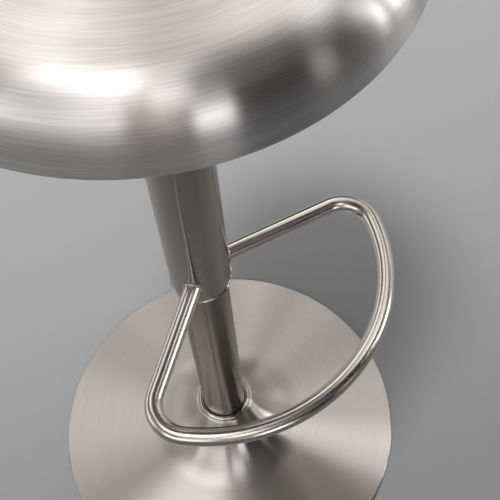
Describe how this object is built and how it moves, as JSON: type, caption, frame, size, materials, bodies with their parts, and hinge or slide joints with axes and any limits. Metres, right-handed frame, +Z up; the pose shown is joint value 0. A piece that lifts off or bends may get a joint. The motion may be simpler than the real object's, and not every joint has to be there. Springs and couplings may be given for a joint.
{
  "type": "bar stool",
  "caption": "Round brushed-steel swivel bar stool on a gas-lift column with a trumpet base, a D-shaped tube footrest and a release lever under the seat.",
  "frame": {"origin": "middle of the footprint on the floor", "axes": "+Z up along the column, -Y towards the footrest, which is the front"},
  "size_m": [0.42, 0.42, 0.8371],
  "materials": {
    "base_steel": "stainless sheet brushed in circles",
    "seat_steel": "stainless sheet brushed in circles",
    "column_steel": "stainless tube with a fine satin grind",
    "upper_column_steel": "stainless tube with a fine satin grind",
    "footrest_steel": "stainless tube polished to a soft shine",
    "weld_steel": "weld bead, brushed and slightly straw coloured",
    "polished_steel": "polished",
    "lever_chrome": "plated",
    "bearing_steel": "ground and polished",
    "plain_steel": "plain turned steel",
    "zinc_steel": "bright zinc",
    "black_steel": "black powder coat",
    "black_enamel": "black enamel, semi-gloss",
    "cast_iron": "as cast",
    "rubber": "matt black",
    "black_plastic": "moulded, matt",
    "cage_plastic": "natural nylon",
    "grip_plastic": "moulded grip, fine texture"
  },
  "bodies": {
    "base": {"base_cover": "base_steel", "base_plate": "black_steel", "floor_ring": "rubber", "ballast_ring": "cast_iron", "tube_flange": "plain_steel", "flange_screws": "zinc_steel", "lower_tube": "column_steel", "base_collar": "polished_steel", "collar_gasket": "rubber", "guide_bush": "black_plastic", "lower_race": "bearing_steel"},
    "bearing": {"ball_cage": "cage_plastic", "bearing_balls": "bearing_steel"},
    "piston": {"upper_race": "bearing_steel", "piston_rod": "bearing_steel", "piston_head": "plain_steel", "bump_stop": "rubber", "retaining_washer": "zinc_steel", "retaining_clip": "zinc_steel"},
    "seat": {"gas_cylinder": "black_enamel", "cylinder_gland": "plain_steel", "upper_tube": "upper_column_steel", "guide_ring": "black_plastic", "taper_hub": "plain_steel", "footrest": "footrest_steel", "footrest_weld_left": "weld_steel", "footrest_weld_right": "weld_steel", "seat_shell": "seat_steel", "seat_pan": "black_steel", "seat_plate": "black_steel", "backing_plate": "plain_steel", "mounting_screws": "zinc_steel", "mounting_washers": "zinc_steel", "lever_bracket": "black_steel", "lever_pin": "zinc_steel"},
    "lever": {"lever_rod": "lever_chrome", "lever_knob": "grip_plastic"},
    "valve": {"valve_pin": "plain_steel"}
  },
  "joints": [
    {"name": "seat_swivel", "type": "hinge", "parent": "base", "child": "piston", "pos_m": [0, 0, 0.03], "axis": [0, 0, 1], "continuous": true},
    {"name": "bearing_roll", "type": "hinge", "parent": "base", "child": "bearing", "pos_m": [0, 0, 0.03], "axis": [0, 0, 1], "continuous": true},
    {"name": "seat_height", "type": "slide", "parent": "piston", "child": "seat", "axis": [0, 0, 1], "range_m": [-0.21, 0]},
    {"name": "lever_lift", "type": "hinge", "parent": "seat", "child": "lever", "pos_m": [-0.017, 0, 0.766], "axis": [0, 1, 0], "range_deg": [0, 10], "stiffness_Nm_per_rad": 12, "springref_deg": -2.86},
    {"name": "valve_press", "type": "slide", "parent": "seat", "child": "valve", "axis": [0, 0, -1], "range_m": [0, 0.003]}
  ],
  "couplings": [
    {"joint": "bearing_roll", "follows": "seat_swivel", "ratio": 0.5},
    {"joint": "valve_press", "follows": "lever_lift", "m_per_rad": 0.017}
  ]
}
